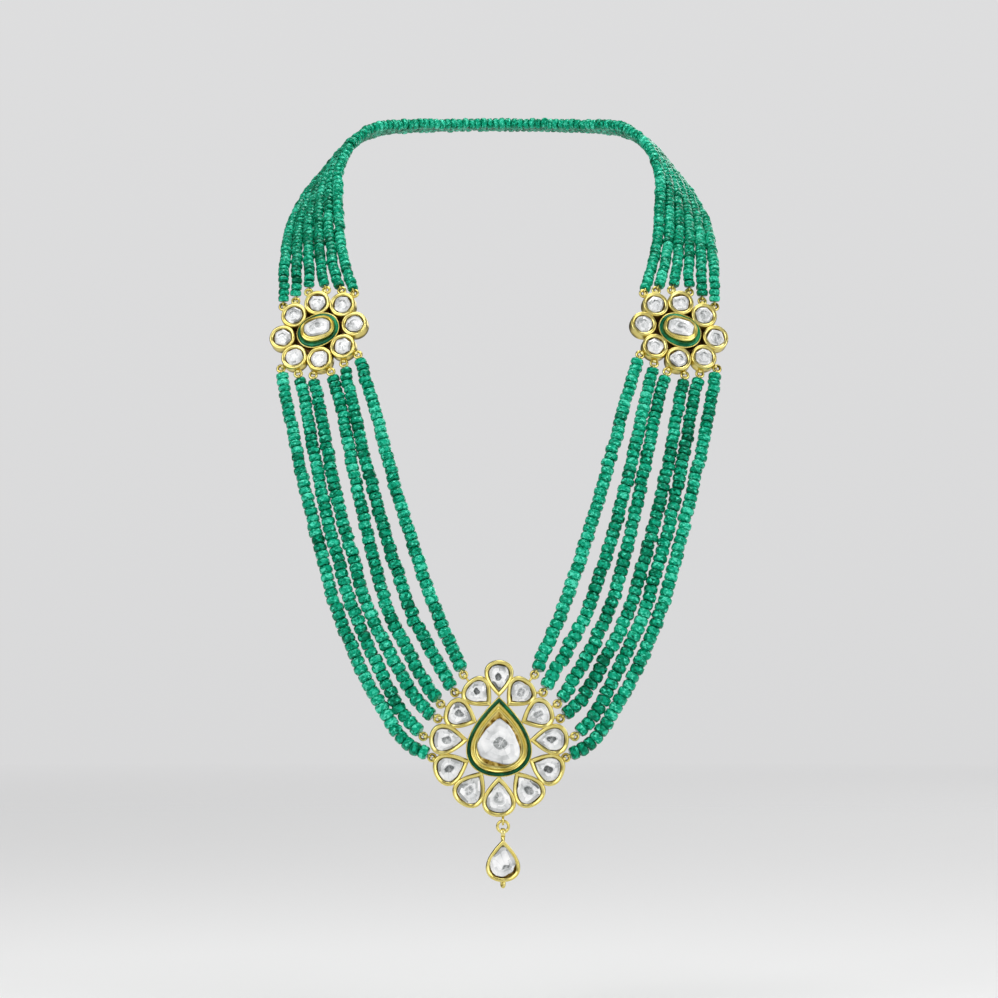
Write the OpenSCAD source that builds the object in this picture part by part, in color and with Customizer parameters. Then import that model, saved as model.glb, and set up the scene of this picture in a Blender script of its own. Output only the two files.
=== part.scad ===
/* [Beads] */
// Diameter of a bead at the neck
neck_bead_d = 3.9; // [3.6:0.1:4]
// Diameter of a bead below the medallions
chest_bead_d = 4.5; // [3.9:0.1:4.6]
// Diameter of a bead at the pendant
low_bead_d = 5.1; // [4.4:0.1:5.2]
// Distance from bead to bead at the neck
neck_pitch = 2.45; // [2.3:0.05:2.8]
// Distance from bead to bead at the pendant
low_pitch = 3.5; // [3.2:0.1:3.8]
// Gap between neighbouring beads of a strand
bead_gap = 0.35; // [0.3:0.05:0.5]
// Diameter of the thread through the beads
thread_d = 1; // [0.8:0.1:1.2]
/* [Drape] */
// Distance between the centres of the two medallions
medallion_span = 137.3; // [136:0.1:138]
// How far the medallion centres lie below the neck
medallion_drop = 84; // [83.4:0.1:84.6]
// How far the pendant centre lies below the neck
pendant_drop = 237.9; // [237:0.1:239]
// How far the pendant hangs in front of the middle of the neck
pendant_forward = 86; // [84:1:90]
// Radius of the chest from side to side, where the strands lie
chest_side_r = 325; // [300:5:350]
// Radius of the chest from top to bottom
chest_height_r = 383; // [370:1:400]
/* [Medallions] */
// Length of the oval on which the petal settings sit
petal_oval_l = 28.9; // [28.6:0.1:29.2]
// Width of that oval
petal_oval_w = 22.9; // [22.7:0.1:23.1]
// Outer diameter of a round petal setting
petal_d = 10.1; // [10.1:0.05:10.3]
// Length of the oval centre with its enamel
oval_l = 17; // [16.8:0.1:17.4]
// Width of the oval centre with its enamel
oval_w = 13.6; // [13.4:0.1:13.9]
// Length of the oval centre setting
oval_bezel_l = 12.6; // [12.2:0.1:12.8]
// Width of the oval centre setting
oval_bezel_w = 9.8; // [9.4:0.1:10]
/* [Pendant] */
// Width of the pear-shaped centre with its enamel
pear_w = 24.9; // [24.6:0.1:25.2]
// Length of the pear-shaped centre with its enamel
pear_l = 30.4; // [30:0.1:30.8]
// Width of the enamel band round the centre
enamel_w = 1.25; // [1:0.05:1.4]
// Width of the gold edge outside the enamel
rim_w = 0.45; // [0.4:0.05:0.6]
/* [Settings] */
// Thickness of the gold wall round a petal stone
wall = 1.5; // [1.3:0.1:1.7]
// Thickness of the gold wall round a centre stone
centre_wall = 1.9; // [1.7:0.1:2.1]
// Depth of the petal settings from front to back
setting_depth = 4.5; // [4.2:0.1:4.8]
// How far a centre setting stands out in front of the petals
centre_rise = 1.2; // [0.9:0.1:1.5]
// Gap between a stone or enamel and its setting
fit_gap = 0.06; // [0.05:0.01:0.1]
/* [Eyes and loops] */
// Outer diameter of a soldered eye
eye_d = 3.5; // [3.4:0.1:3.6]
// Thickness of its wire
eye_wire = 0.85; // [0.8:0.05:0.85]
// Outer diameter of the loop that ends a strand
loop_d = 2.26; // [2.2:0.02:2.3]
// Thickness of the loop's wire
loop_wire = 0.56; // [0.5:0.02:0.58]
/* [Drop] */
// Outer diameter of the jump ring
ring_d = 5.3; // [5.2:0.1:5.4]
// Thickness of its wire
ring_wire = 1.1; // [1:0.05:1.15]
// Width of the drop's pear-shaped setting
drop_w = 13; // [12:0.5:14]
// Length of the drop's pear-shaped setting
drop_l = 16; // [15:0.5:17]
// Depth of the drop's setting from front to back
drop_depth = 4; // [3.6:0.2:4.4]
// How far the drop's eye stands to one side of the pendant's middle
drop_x = 1.5; // [0:0.1:1.6]
/* [Hidden] */
STRANDS = [1 : 6];
SIDES = ["left", "right"];

// The ribbon of six neck strands, from the medallion to the nape, on the left side.
// x is measured outwards from the middle; twist turns the ribbon from flat (0) to edge-on (90).
//   x     y     z     spacing  twist
NECK = [
    [70.2, -38, -61.5, 4.9, 0],
    [71.3, -25, -50.1, 4.2, 8],
    [71.4, -8, -38.0, 4.1, 42],
    [69.6, 8, -26.5, 4.1, 66],
    [65.4, 21, -17.5, 4.1, 80],
    [60.0, 32, -10.2, 4.1, 87],
    [53.0, 41, -4.0, 4.1, 90],
    [42.0, 50, -0.6, 4.1, 90],
    [23.0, 60, 0.8, 4.1, 90],
    [0.0, 64, 1.2, 4.1, 90]];

// The six chest strands at five heights, as distances from the middle, on either side
//   height   1     2     3     4     5     6
CHEST = [
    [-109.2, 81.0, 74.1, 68.9, 60.8, 55.9, 48.4],
    [-132.2, 76.2, 69.8, 64.4, 56.0, 50.6, 42.2],
    [-152.6, 71.2, 65.6, 60.0, 51.6, 45.3, 36.3],
    [-172.9, 66.0, 60.0, 54.2, 46.7, 39.2, 29.7],
    [-190.0, 60.9, 54.8, 48.9, 41.5, 33.2, 23.7]];
// Where each chest strand begins its turn towards the pendant, strand 1 to 6
//   x     height
BEND = [
    [51.0, -213.5],
    [44.4, -213.0],
    [38.4, -210.5],
    [32.4, -208.0],
    [28.2, -200.0],
    [19.9, -199.0]];
// Where it has turned, strand 1 to 6
//   x     height
TURN = [
    [36.6, -237.6],
    [35.6, -229.8],
    [30.6, -223.6],
    [26.8, -217.8],
    [22.2, -210.4],
    [16.2, -207.0]];

// Eyes of a medallion, strand 1 to 6: the petal that each is soldered to, and its bearing
//   petal  bearing
TOP_EYES = [[7, 139], [7, 92], [0, 129], [0, 65], [1, 100], [1, 53]];
LOW_EYES = [[5, 219], [5, 286], [4, 250], [4, 314], [3, 276], [3, 334]];
petal_oval_turn = 27.5;
petal_start = 0.2;

// Petals of the pendant from the top down, on the right side; the first and last stand in the middle
//   tip x  tip z  facing  width  length
PEAR_PETALS = [
    [0, 15.8, 0, 11.0, 13.9],
    [3.1, 12.6, 45, 11.9, 12.5],
    [8.3, 6.3, 65.5, 11.8, 13.0],
    [11.5, -0.4, 88.5, 11.8, 14.8],
    [11.2, -7.9, 113.5, 12.4, 14.2],
    [6.2, -12.3, 146.5, 12.4, 14.8],
    [0, -13.9, 180, 12.7, 15.4]];
// Eyes of the pendant, strand 1 to 6, and the petal that each is soldered to
//   x     z    petal
PENDANT_EYES = [
    [25.2, -7.0, 4],
    [28.5, 1.0, 3],
    [23.1, 7.7, 2],
    [22.0, 13.2, 2],
    [16.6, 17.5, 1],
    [13.4, 24.2, 1]];

route_steps = 8;
outline_steps = 24;
petal_back = setting_depth / 2;
petal_front = -setting_depth / 2;
centre_back = petal_back + 0.2;
centre_front = petal_front - centre_rise;
enamel_front = petal_front + 0.1;
enamel_depth = 0.9;
stone_depth = 1.5;
stone_sunk = 0.25;
plate_depth = 1.2;
eye_r = (eye_d - eye_wire) / 2;
eye_stand = 0.2;
loop_r = (loop_d - loop_wire) / 2;
loop_reach = 0.7;
medallion_x = medallion_span / 2;
ring_r = (ring_d - ring_wire) / 2;
drop_eye_r = 1.3;
drop_eye_wire = 0.9;
drop_eye_z = -30.8;
ring_play = 0.25;
ring_seam = 105;
ring_z = drop_eye_z - drop_eye_r + drop_eye_wire / 2 + ring_wire / 2 + ring_play - ring_r;
bail_in_r = 1.15;
bail_wall = 0.6;
bail_w = 1.7;
bail_play = 0.4;
bail_z = ring_z - ring_r + ring_wire / 2 + bail_play - bail_in_r;
drop_tip_z = bail_z - bail_in_r - bail_wall - 0.8;
drop_back = drop_depth / 2;
drop_front = -drop_depth / 2;
drop_wall = 1.5;
foot_eye_r = 1.05;
foot_eye_wire = 1.1;

// How far forward the chest lies at a place, as a bowl round the pendant
function chest_y(x, z) = -pendant_forward + x * x / (2 * chest_side_r)
    + (z + pendant_drop) * (z + pendant_drop) / (2 * chest_height_r);
pendant_at = [0, -pendant_forward, -pendant_drop];
medallion_at = [-medallion_x, chest_y(medallion_x, -medallion_drop), -medallion_drop];
medallion_tilt = atan((pendant_drop - medallion_drop) / chest_height_r);
medallion_yaw = atan(medallion_x / chest_side_r);

function unit(v) = v / norm(v);
function flip(p) = [-p[0], p[1], p[2]];

// Smooth curve through a list of points, and distances along it
function curve_point(a, b, c, d, t) = 0.5 * (2 * b + (c - a) * t
    + (2 * a - 5 * b + 4 * c - d) * t * t + (3 * b - 3 * c + d - a) * t * t * t);
function smooth(p) = let (n = len(p) - 1) concat(
    [for (i = [0 : n - 1], s = [0 : route_steps - 1])
        curve_point(i == 0 ? 2 * p[0] - p[1] : p[i - 1], p[i], p[i + 1],
            i == n - 1 ? 2 * p[n] - p[n - 1] : p[i + 2], s / route_steps)],
    [p[n]]);
function distances(p) =
    [for (i = 0, s = 0; i < len(p); s = s + (i + 1 < len(p) ? norm(p[i + 1] - p[i]) : 0), i = i + 1) s];
function point_at(p, dist, s) =
    [for (k = [0 : len(p[0]) - 1]) lookup(s, [for (i = [0 : len(p) - 1]) [dist[i], p[i][k]]])];

// Directions of a medallion's own axes on the left: across, up, and out of its face
face_x = [cos(medallion_yaw), -sin(medallion_yaw), 0];
face_z = [sin(medallion_yaw) * sin(medallion_tilt), cos(medallion_yaw) * sin(medallion_tilt), cos(medallion_tilt)];
face_out = cross(face_x, face_z);

// Outline of an oval, and of a pear with its tip at the origin, pointing away along +y
function oval(l, w, steps) =
    [for (i = [0 : steps - 1]) [l / 2 * cos(360 * i / steps), w / 2 * sin(360 * i / steps)]];
pear_width = 1 / max([for (t = [0 : 180]) sin(t) * sin(t / 2)]);
function pear(w, l, steps) =
    [for (i = [0 : steps - 1]) let (t = 360 * i / steps)
        [w / 2 * pear_width * sin(t) * abs(sin(t / 2)), l / 2 - l / 2 * cos(t)]];
// Keeping a wall of one thickness takes more off the sharp tip than off the round end
tip_share = sqrt(2);
module pear_outline(w, l, inset = 0, steps = outline_steps) {
    translate([0, inset * tip_share])
        polygon(pear(w - 2 * inset, l - inset * (1 + tip_share), steps));
}
module oval_outline(l, w, inset = 0) {
    polygon(oval(l - 2 * inset, w - 2 * inset, 2 * outline_steps));
}

// Extrudes an outline drawn in x and z from one depth to another
module slab(front, back) {
    translate([0, back, 0])
        rotate([90, 0, 0])
            linear_extrude(back - front)
                children();
}
module toward(p, d) {
    translate(p)
        rotate([0, acos(d[2] / norm(d)), atan2(d[1], d[0])])
            children();
}
module wire_ring(r, wire) {
    rotate_extrude($fn = 32)
        translate([r, 0])
            circle(d = wire, $fn = 20);
}
// Ring whose wire lies in the plane across the given axis; seam says how far round it the wire closes
module ring_across(p, axis, r, wire, seam = 0) {
    toward(p, axis)
        rotate([0, 0, seam])
            wire_ring(r, wire);
}

// Centres of a medallion's petals, clockwise from the top one, in its own plane
function turned(p, a) = [p[0] * cos(a) - p[1] * sin(a), p[0] * sin(a) + p[1] * cos(a)];
petal_line = let (o = oval(petal_oval_l, petal_oval_w, 120)) concat(o, [o[0]]);
petal_dist = distances(petal_line);
PETALS = [for (k = [0 : 7]) let (f = petal_start - k / 8, total = petal_dist[len(petal_dist) - 1])
    turned(point_at(petal_line, petal_dist, total * (f < 0 ? f + 1 : f)), petal_oval_turn)];
function eye_on_petal(e) = PETALS[e[0]] + (petal_d / 2 + eye_r + eye_stand) * [cos(e[1]), sin(e[1])];
function on_medallion(q) = medallion_at + q[0] * face_x + q[1] * face_z;

// Where a strand's end loop sits in its eye: on the eye's wire, on the side of the strand
function loop_at(eye, axis, next) =
    let (d = next - eye) eye + eye_r * unit(d - (d * axis) * axis);

// A neck strand's points on the left side, the nape included
function neck_centre(k) = [-NECK[k][0], NECK[k][1], NECK[k][2]];
function neck_heading(k) = k == len(NECK) - 1 ? [1, 0, 0] : unit(neck_centre(k + 1) - neck_centre(max(k - 1, 0)));
function neck_across(k) =
    let (w = [-cos(NECK[k][4]), sin(NECK[k][4]), 0], t = neck_heading(k)) unit(w - (w * t) * t);
function neck_point(k, i) = neck_centre(k) + NECK[k][3] * (3.5 - i) * neck_across(k);
function neck_half(i) = [for (k = [0 : len(NECK) - 1]) neck_point(k, i)];
function neck_eye(i) = on_medallion(eye_on_petal(TOP_EYES[i - 1]));
function neck_route(i) = let (
    half = neck_half(i),
    side = concat([loop_at(neck_eye(i), face_out, half[0])], half))
    concat(side, [for (k = [len(side) - 2 : -1 : 0]) flip(side[k])]);

// A chest strand's points on the left side, from the medallion to the pendant
function on_chest(x, z) = [-x, chest_y(x, z), z];
function pendant_eye(i) = pendant_at + [-PENDANT_EYES[i - 1][0], 0, PENDANT_EYES[i - 1][1]];
function chest_route(i) = let (
    inner = concat([for (row = CHEST) on_chest(row[i], row[0])],
        [for (turn = [BEND[i - 1], TURN[i - 1]]) on_chest(turn[0], turn[1])]),
    top = on_medallion(eye_on_petal(LOW_EYES[i - 1])))
    concat([loop_at(top, face_out, inner[0])], inner,
        [loop_at(pendant_eye(i), [0, -1, 0], inner[len(inner) - 1])]);

module bead(d, h) {
    rotate_extrude($fn = 24)
        polygon([[0, -h / 2], [d * 0.27, -h / 2], [d / 2, -h * 0.14],
            [d / 2, h * 0.14], [d * 0.27, h / 2], [0, h / 2]]);
}

// Beads on their thread along a route, growing from one size and pitch to another
module beads_along(route, d0, d1, pitch0, pitch1) {
    path = smooth(route);
    dist = distances(path);
    total = dist[len(dist) - 1] - 2 * loop_reach;
    n = round(total / ((pitch0 + pitch1) / 2));
    cut = [for (k = [0 : n]) point_at(path, dist, loop_reach
        + total * (pitch0 * k + (pitch1 - pitch0) * k * k / (2 * n)) / (n * (pitch0 + pitch1) / 2))];
    mid = [for (k = [0 : n - 1]) (cut[k] + cut[k + 1]) / 2];
    aim = [for (k = [0 : n - 1]) unit(cut[k + 1] - cut[k])];
    thick = [for (k = [0 : n - 1]) norm(cut[k + 1] - cut[k]) - bead_gap];
    for (k = [0 : n - 1])
        toward(mid[k], aim[k])
            bead(d0 + (d1 - d0) * k / n, thick[k]);
    for (k = [0 : n - 2]) {
        a = mid[k] + aim[k] * thick[k] / 4;
        b = mid[k + 1] - aim[k + 1] * thick[k + 1] / 4;
        toward(a, b - a)
            cylinder(h = norm(b - a), d = thread_d, $fn = 16);
    }
}
module end_loop(eye, axis, next) {
    p = loop_at(eye, axis, next);
    ring_across(p, cross(axis, p - eye), loop_r, loop_wire);
}

module neck_strand(i) {
    union() {
        color("seagreen")
            beads_along(neck_route(i), neck_bead_d, neck_bead_d, neck_pitch, neck_pitch);
        color("gold") {
            end_loop(neck_eye(i), face_out, neck_point(0, i));
            mirror([1, 0, 0])
                end_loop(neck_eye(i), face_out, neck_point(0, i));
        }
    }
}
module chest_strand(side, i) {
    route = chest_route(i);
    n = len(route) - 1;
    mirror([side == "left" ? 0 : 1, 0, 0])
        union() {
            color("seagreen")
                beads_along(route, chest_bead_d, low_bead_d, neck_pitch, low_pitch);
            color("gold") {
                end_loop(on_medallion(eye_on_petal(LOW_EYES[i - 1])), face_out, route[1]);
                end_loop(pendant_eye(i), [0, -1, 0], route[n - 1]);
            }
        }
}

module at_medallion(side) {
    mirror([side == "left" ? 0 : 1, 0, 0])
        translate(medallion_at)
            rotate([-medallion_tilt, 0, -medallion_yaw])
                children();
}
module at_petal(k) {
    translate([PETALS[k][0], 0, PETALS[k][1]])
        rotate([90, 0, 0])
            children();
}
module turned_oval(l, w, inset = 0) {
    rotate(petal_oval_turn)
        oval_outline(l, w, inset);
}
module medallion_frame(side) {
    petal_hole_d = petal_d - 2 * wall;
    color("gold")
        at_medallion(side)
            difference() {
                union() {
                    slab(petal_back - plate_depth, petal_back - 0.1)
                        turned_oval(petal_oval_l, petal_oval_w);
                    slab(enamel_front, centre_back)
                        turned_oval(oval_l, oval_w);
                    slab(centre_front, petal_back - 0.5)
                        turned_oval(oval_bezel_l, oval_bezel_w);
                    for (k = [0 : 7])
                        at_petal(k)
                            translate([0, 0, petal_front])
                                cylinder(h = setting_depth, d = petal_d, $fn = 48);
                    for (e = concat(TOP_EYES, LOW_EYES)) {
                        q = eye_on_petal(e);
                        ring_across([q[0], 0, q[1]], [0, -1, 0], eye_r, eye_wire);
                    }
                }
                difference() {
                    slab(centre_front, enamel_front + enamel_depth)
                        turned_oval(oval_l, oval_w, rim_w);
                    slab(centre_front - 1, enamel_front + enamel_depth + 1)
                        turned_oval(oval_bezel_l, oval_bezel_w);
                }
                slab(centre_front - 1, centre_front + stone_sunk + stone_depth + fit_gap)
                    turned_oval(oval_bezel_l, oval_bezel_w, 1.2);
                for (k = [0 : 7])
                    at_petal(k)
                        translate([0, 0, -petal_front - stone_sunk - stone_depth - fit_gap])
                            cylinder(h = setting_depth, d = petal_hole_d, $fn = 48);
            }
}
module medallion_enamel(side) {
    color("darkgreen")
        at_medallion(side)
            difference() {
                slab(enamel_front, enamel_front + enamel_depth - fit_gap)
                    turned_oval(oval_l, oval_w, rim_w + fit_gap);
                slab(enamel_front - 1, enamel_front + enamel_depth + 1)
                    turned_oval(oval_bezel_l, oval_bezel_w, -fit_gap);
            }
}

// A flat-cut stone: a girdle as deep as its setting and a smaller table in front
module cut_stone(front) {
    hull() {
        slab(front + stone_depth * 0.4, front + stone_depth)
            children(0);
        slab(front, front + stone_depth)
            children(1);
    }
}
module medallion_centre_stone(side) {
    color("white")
        at_medallion(side)
            cut_stone(centre_front + stone_sunk) {
                turned_oval(oval_bezel_l, oval_bezel_w, 1.2 + fit_gap);
                turned_oval(oval_bezel_l, oval_bezel_w, 2);
            }
}
module medallion_petal_stone(side, k) {
    stone_d = petal_d - 2 * wall - 2 * fit_gap;
    color("white")
        at_medallion(side)
            at_petal(k - 1)
                translate([0, 0, -petal_front - stone_sunk - stone_depth]) {
                    cylinder(h = stone_depth * 0.6, d = stone_d, $fn = 48);
                    translate([0, 0, stone_depth * 0.6])
                        cylinder(h = stone_depth * 0.4, d1 = stone_d, d2 = stone_d - 1.6, $fn = 48);
                }
}

// The twelve petals: the two in the middle once, the rest on both sides, clockwise from the top
ALL_PETALS = concat(
    PEAR_PETALS,
    [for (k = [5 : -1 : 1]) let (p = PEAR_PETALS[k]) [-p[0], p[1], -p[2], p[3], p[4]]]);
module at_pear_petal(p) {
    translate([p[0], 0, p[1]])
        rotate([0, p[2], 0])
            children();
}
// The round part of a petal, where an eye's stem points to
function petal_heart(p) = let (reach = p[4] - p[3] / 2) [p[0] + reach * sin(p[2]), p[1] + reach * cos(p[2])];
module centre_pear(inset) {
    translate([0, pear_l / 2 + 0.9])
        rotate(180)
            pear_outline(pear_w, pear_l, inset, 2 * outline_steps);
}
module pendant_eye_ring(e) {
    eye = [e[0], e[1]];
    heart = petal_heart(PEAR_PETALS[e[2]]);
    out = unit(eye - heart);
    start = heart + out * (PEAR_PETALS[e[2]][3] / 2 - 0.8);
    stem = eye - out * eye_r - start;
    ring_across([eye[0], 0, eye[1]], [0, -1, 0], eye_r, eye_wire);
    toward([start[0], 0, start[1]], [out[0], 0, out[1]])
        cylinder(h = norm(stem), d = 0.7, $fn = 24);
}
module pendant_frame() {
    bezel_inset = rim_w + enamel_w;
    color("gold")
        translate(pendant_at)
            difference() {
                union() {
                    slab(enamel_front, centre_back)
                        centre_pear(0);
                    slab(centre_front, petal_back - 0.5)
                        centre_pear(bezel_inset);
                    for (p = ALL_PETALS)
                        at_pear_petal(p)
                            slab(petal_front, petal_back)
                                pear_outline(p[3], p[4]);
                    for (m = [0, 1], e = PENDANT_EYES)
                        mirror([m, 0, 0])
                            pendant_eye_ring(e);
                    ring_across([drop_x, 0, drop_eye_z], [1, 0, 0], drop_eye_r, drop_eye_wire);
                    translate([drop_x, 0, drop_eye_z + drop_eye_r])
                        cylinder(h = 1.4, d = 1.2, $fn = 24);
                }
                difference() {
                    slab(centre_front, enamel_front + enamel_depth)
                        centre_pear(rim_w);
                    slab(centre_front - 1, enamel_front + enamel_depth + 1)
                        centre_pear(bezel_inset);
                }
                slab(centre_front - 1, centre_front + stone_sunk + stone_depth + fit_gap)
                    centre_pear(bezel_inset + centre_wall);
                for (p = ALL_PETALS)
                    at_pear_petal(p)
                        slab(petal_front - 1, petal_front + stone_sunk + stone_depth + fit_gap)
                            pear_outline(p[3], p[4], wall);
            }
}
module pendant_enamel() {
    color("darkgreen")
        translate(pendant_at)
            difference() {
                slab(enamel_front, enamel_front + enamel_depth - fit_gap)
                    centre_pear(rim_w + fit_gap);
                slab(enamel_front - 1, enamel_front + enamel_depth + 1)
                    centre_pear(rim_w + enamel_w - fit_gap);
            }
}
module pendant_centre_stone() {
    inset = rim_w + enamel_w + centre_wall;
    color("white")
        translate(pendant_at)
            cut_stone(centre_front + stone_sunk) {
                centre_pear(inset + fit_gap);
                centre_pear(inset + 1.5);
            }
}
module pendant_petal_stone(k) {
    p = ALL_PETALS[k - 1];
    color("white")
        translate(pendant_at)
            at_pear_petal(p)
                cut_stone(petal_front + stone_sunk) {
                    pear_outline(p[3], p[4], wall + fit_gap);
                    pear_outline(p[3], p[4], wall + 0.9);
                }
}

module at_drop() {
    translate(pendant_at + [drop_x, 0, 0])
        children();
}
module jump_ring() {
    color("gold")
        at_drop()
            ring_across([0, 0, ring_z], [0, 1, 0], ring_r, ring_wire, ring_seam);
}
module drop_outline(inset) {
    translate([0, drop_tip_z])
        rotate(180)
            pear_outline(drop_w, drop_l, inset, 2 * outline_steps);
}
module drop_frame() {
    foot_z = drop_tip_z - drop_l - foot_eye_r + 0.3;
    color("gold")
        at_drop()
            difference() {
                union() {
                    toward([0, 0, bail_z], [1, 0, 0])
                        rotate_extrude($fn = 48)
                            translate([bail_in_r, -bail_w / 2])
                                square([bail_wall, bail_w]);
                    translate([0, 0, drop_tip_z - 1.6])
                        cylinder(h = 2.7, d = 1.5, $fn = 32);
                    slab(drop_front, drop_back)
                        drop_outline(0);
                    ring_across([0, 0, foot_z], [1, 0, 0], foot_eye_r, foot_eye_wire);
                }
                slab(drop_front - 1, drop_front + stone_sunk + stone_depth + fit_gap)
                    drop_outline(drop_wall);
            }
}
module drop_stone() {
    color("white")
        at_drop()
            cut_stone(drop_front + stone_sunk) {
                drop_outline(drop_wall + fit_gap);
                drop_outline(drop_wall + 1);
            }
}

for (i = STRANDS)
    neck_strand(i);
for (s = SIDES, i = STRANDS)
    chest_strand(s, i);
for (s = SIDES) {
    medallion_frame(s);
    medallion_enamel(s);
    medallion_centre_stone(s);
    for (k = [1 : 8])
        medallion_petal_stone(s, k);
}
pendant_frame();
pendant_enamel();
pendant_centre_stone();
for (k = [1 : 12])
    pendant_petal_stone(k);
jump_ring();
drop_frame();
drop_stone();
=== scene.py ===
import math
from collections import namedtuple

import bpy
import numpy as np
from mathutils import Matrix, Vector


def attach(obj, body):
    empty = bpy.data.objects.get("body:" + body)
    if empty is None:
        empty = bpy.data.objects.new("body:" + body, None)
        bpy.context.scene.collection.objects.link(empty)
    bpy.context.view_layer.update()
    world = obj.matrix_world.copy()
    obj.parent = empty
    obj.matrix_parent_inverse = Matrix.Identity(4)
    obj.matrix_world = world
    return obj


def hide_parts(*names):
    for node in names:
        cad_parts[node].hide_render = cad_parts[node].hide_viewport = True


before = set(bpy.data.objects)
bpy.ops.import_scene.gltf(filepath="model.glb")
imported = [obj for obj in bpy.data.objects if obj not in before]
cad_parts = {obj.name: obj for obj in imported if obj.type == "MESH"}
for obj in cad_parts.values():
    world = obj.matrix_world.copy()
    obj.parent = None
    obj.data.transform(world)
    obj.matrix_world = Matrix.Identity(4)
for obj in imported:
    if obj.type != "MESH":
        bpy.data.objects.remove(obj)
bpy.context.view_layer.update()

# Sizes and places in millimetres, and angles in degrees, as in the CAD model
MM = 0.001

# Beads, and the wire loops at the strands' ends
NECK_BEAD_D = 3.9
CHEST_BEAD_D = 4.5
LOW_BEAD_D = 5.1
NECK_PITCH = 2.45
LOW_PITCH = 3.5
LOOP_D = 2.26
LOOP_WIRE = 0.56
LOOP_REACH = 0.7

# Where medallions and pendant hang, and the radii of the chest that they lie on
MEDALLION_SPAN = 137.3
MEDALLION_DROP = 84.0
PENDANT_DROP = 237.9
PENDANT_FORWARD = 86.0
CHEST_SIDE_R = 325.0
CHEST_HEIGHT_R = 383.0

# Medallion, with ovals by length and width
PETAL_COUNT = 8
PETAL_D = 10.1
PETAL_OVAL = (28.9, 22.9)
PETAL_START = 0.2
OVAL = (17.0, 13.6)
OVAL_BEZEL = (12.6, 9.8)
OVAL_TURN = 27.5

# Pendant and drop, with pears by width and length
PEAR = (24.9, 30.4)
PEAR_RAISE = 0.9
ENAMEL_W = 1.25
RIM_W = 0.45
DROP = (13.0, 16.0)
DROP_X = 1.5

# Soldered eyes
EYE_D = 3.5
EYE_WIRE = 0.85
EYE_R = (EYE_D - EYE_WIRE) / 2
EYE_STAND = 0.2

# Depths from front (negative) to back
PETAL_FRONT = -2.25
PETAL_BACK = 2.25
CENTRE_FRONT = -3.45
CENTRE_BACK = 2.45
ENAMEL_FRONT = -2.15
DROP_FRONT = -2.0
DROP_BACK = 2.0

# The drop and its jump ring, from the pendant's middle
DROP_EYE_R = 1.3
DROP_EYE_WIRE = 0.9
DROP_EYE_Z = -30.8
RING_D = 5.3
RING_WIRE = 1.1
RING_R = (RING_D - RING_WIRE) / 2
RING_PLAY = 0.25
RING_Z = DROP_EYE_Z - DROP_EYE_R + DROP_EYE_WIRE / 2 + RING_WIRE / 2 + RING_PLAY - RING_R
BAIL_IN_R = 1.15
BAIL_WALL = 0.6
BAIL_W = 1.7
BAIL_PLAY = 0.4
BAIL_TO_TIP = 0.8
BAIL_Z = RING_Z - RING_R + RING_WIRE / 2 + BAIL_PLAY - BAIL_IN_R
DROP_TIP_Z = BAIL_Z - BAIL_IN_R - BAIL_WALL - BAIL_TO_TIP
FOOT_R = 1.05
FOOT_OVERLAP = 0.3
FOOT_Z = DROP_TIP_Z - DROP[1] - FOOT_R + FOOT_OVERLAP

# Ribbon of six neck strands on the left side: x outwards, y, z, spacing, twist (90 is on edge)
NECK = [
    (70.2, -38, -61.5, 4.9, 0),
    (71.3, -25, -50.1, 4.2, 8),
    (71.4, -8, -38.0, 4.1, 42),
    (69.6, 8, -26.5, 4.1, 66),
    (65.4, 21, -17.5, 4.1, 80),
    (60.0, 32, -10.2, 4.1, 87),
    (53.0, 41, -4.0, 4.1, 90),
    (42.0, 50, -0.6, 4.1, 90),
    (23.0, 60, 0.8, 4.1, 90),
    (0.0, 64, 1.2, 4.1, 90)]
# Chest strands: height, then how far strand 1 to 6 lies from the middle
CHEST = [
    (-109.2, 81.0, 74.1, 68.9, 60.8, 55.9, 48.4),
    (-132.2, 76.2, 69.8, 64.4, 56.0, 50.6, 42.2),
    (-152.6, 71.2, 65.6, 60.0, 51.6, 45.3, 36.3),
    (-172.9, 66.0, 60.0, 54.2, 46.7, 39.2, 29.7),
    (-190.0, 60.9, 54.8, 48.9, 41.5, 33.2, 23.7)]
# Where each chest strand begins its turn to the pendant, and where it has turned: x, height
BEND = [(51.0, -213.5), (44.4, -213.0), (38.4, -210.5), (32.4, -208.0), (28.2, -200.0), (19.9, -199.0)]
TURN = [(36.6, -237.6), (35.6, -229.8), (30.6, -223.6), (26.8, -217.8), (22.2, -210.4), (16.2, -207.0)]
# Eyes of a medallion, strand 1 to 6: petal and bearing
TOP_EYES = [(7, 139), (7, 92), (0, 129), (0, 65), (1, 100), (1, 53)]
LOW_EYES = [(5, 219), (5, 286), (4, 250), (4, 314), (3, 276), (3, 334)]
# Petals of the pendant on the right side, from the top: tip x, tip z, facing, width, length
PEAR_PETALS = [
    (0, 15.8, 0, 11.0, 13.9),
    (3.1, 12.6, 45, 11.9, 12.5),
    (8.3, 6.3, 65.5, 11.8, 13.0),
    (11.5, -0.4, 88.5, 11.8, 14.8),
    (11.2, -7.9, 113.5, 12.4, 14.2),
    (6.2, -12.3, 146.5, 12.4, 14.8),
    (0, -13.9, 180, 12.7, 15.4)]
# Eyes of the pendant, strand 1 to 6: x, z, petal
PENDANT_EYES = [(25.2, -7.0, 4), (28.5, 1.0, 3), (23.1, 7.7, 2), (22.0, 13.2, 2), (16.6, 17.5, 1),
                (13.4, 24.2, 1)]

SIDES = ("left", "right")
STRANDS = range(1, 7)
MIDDLE_STRAND = 3.5
MIRROR = np.array([-1, 1, 1])
rng = np.random.default_rng(7)


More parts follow.
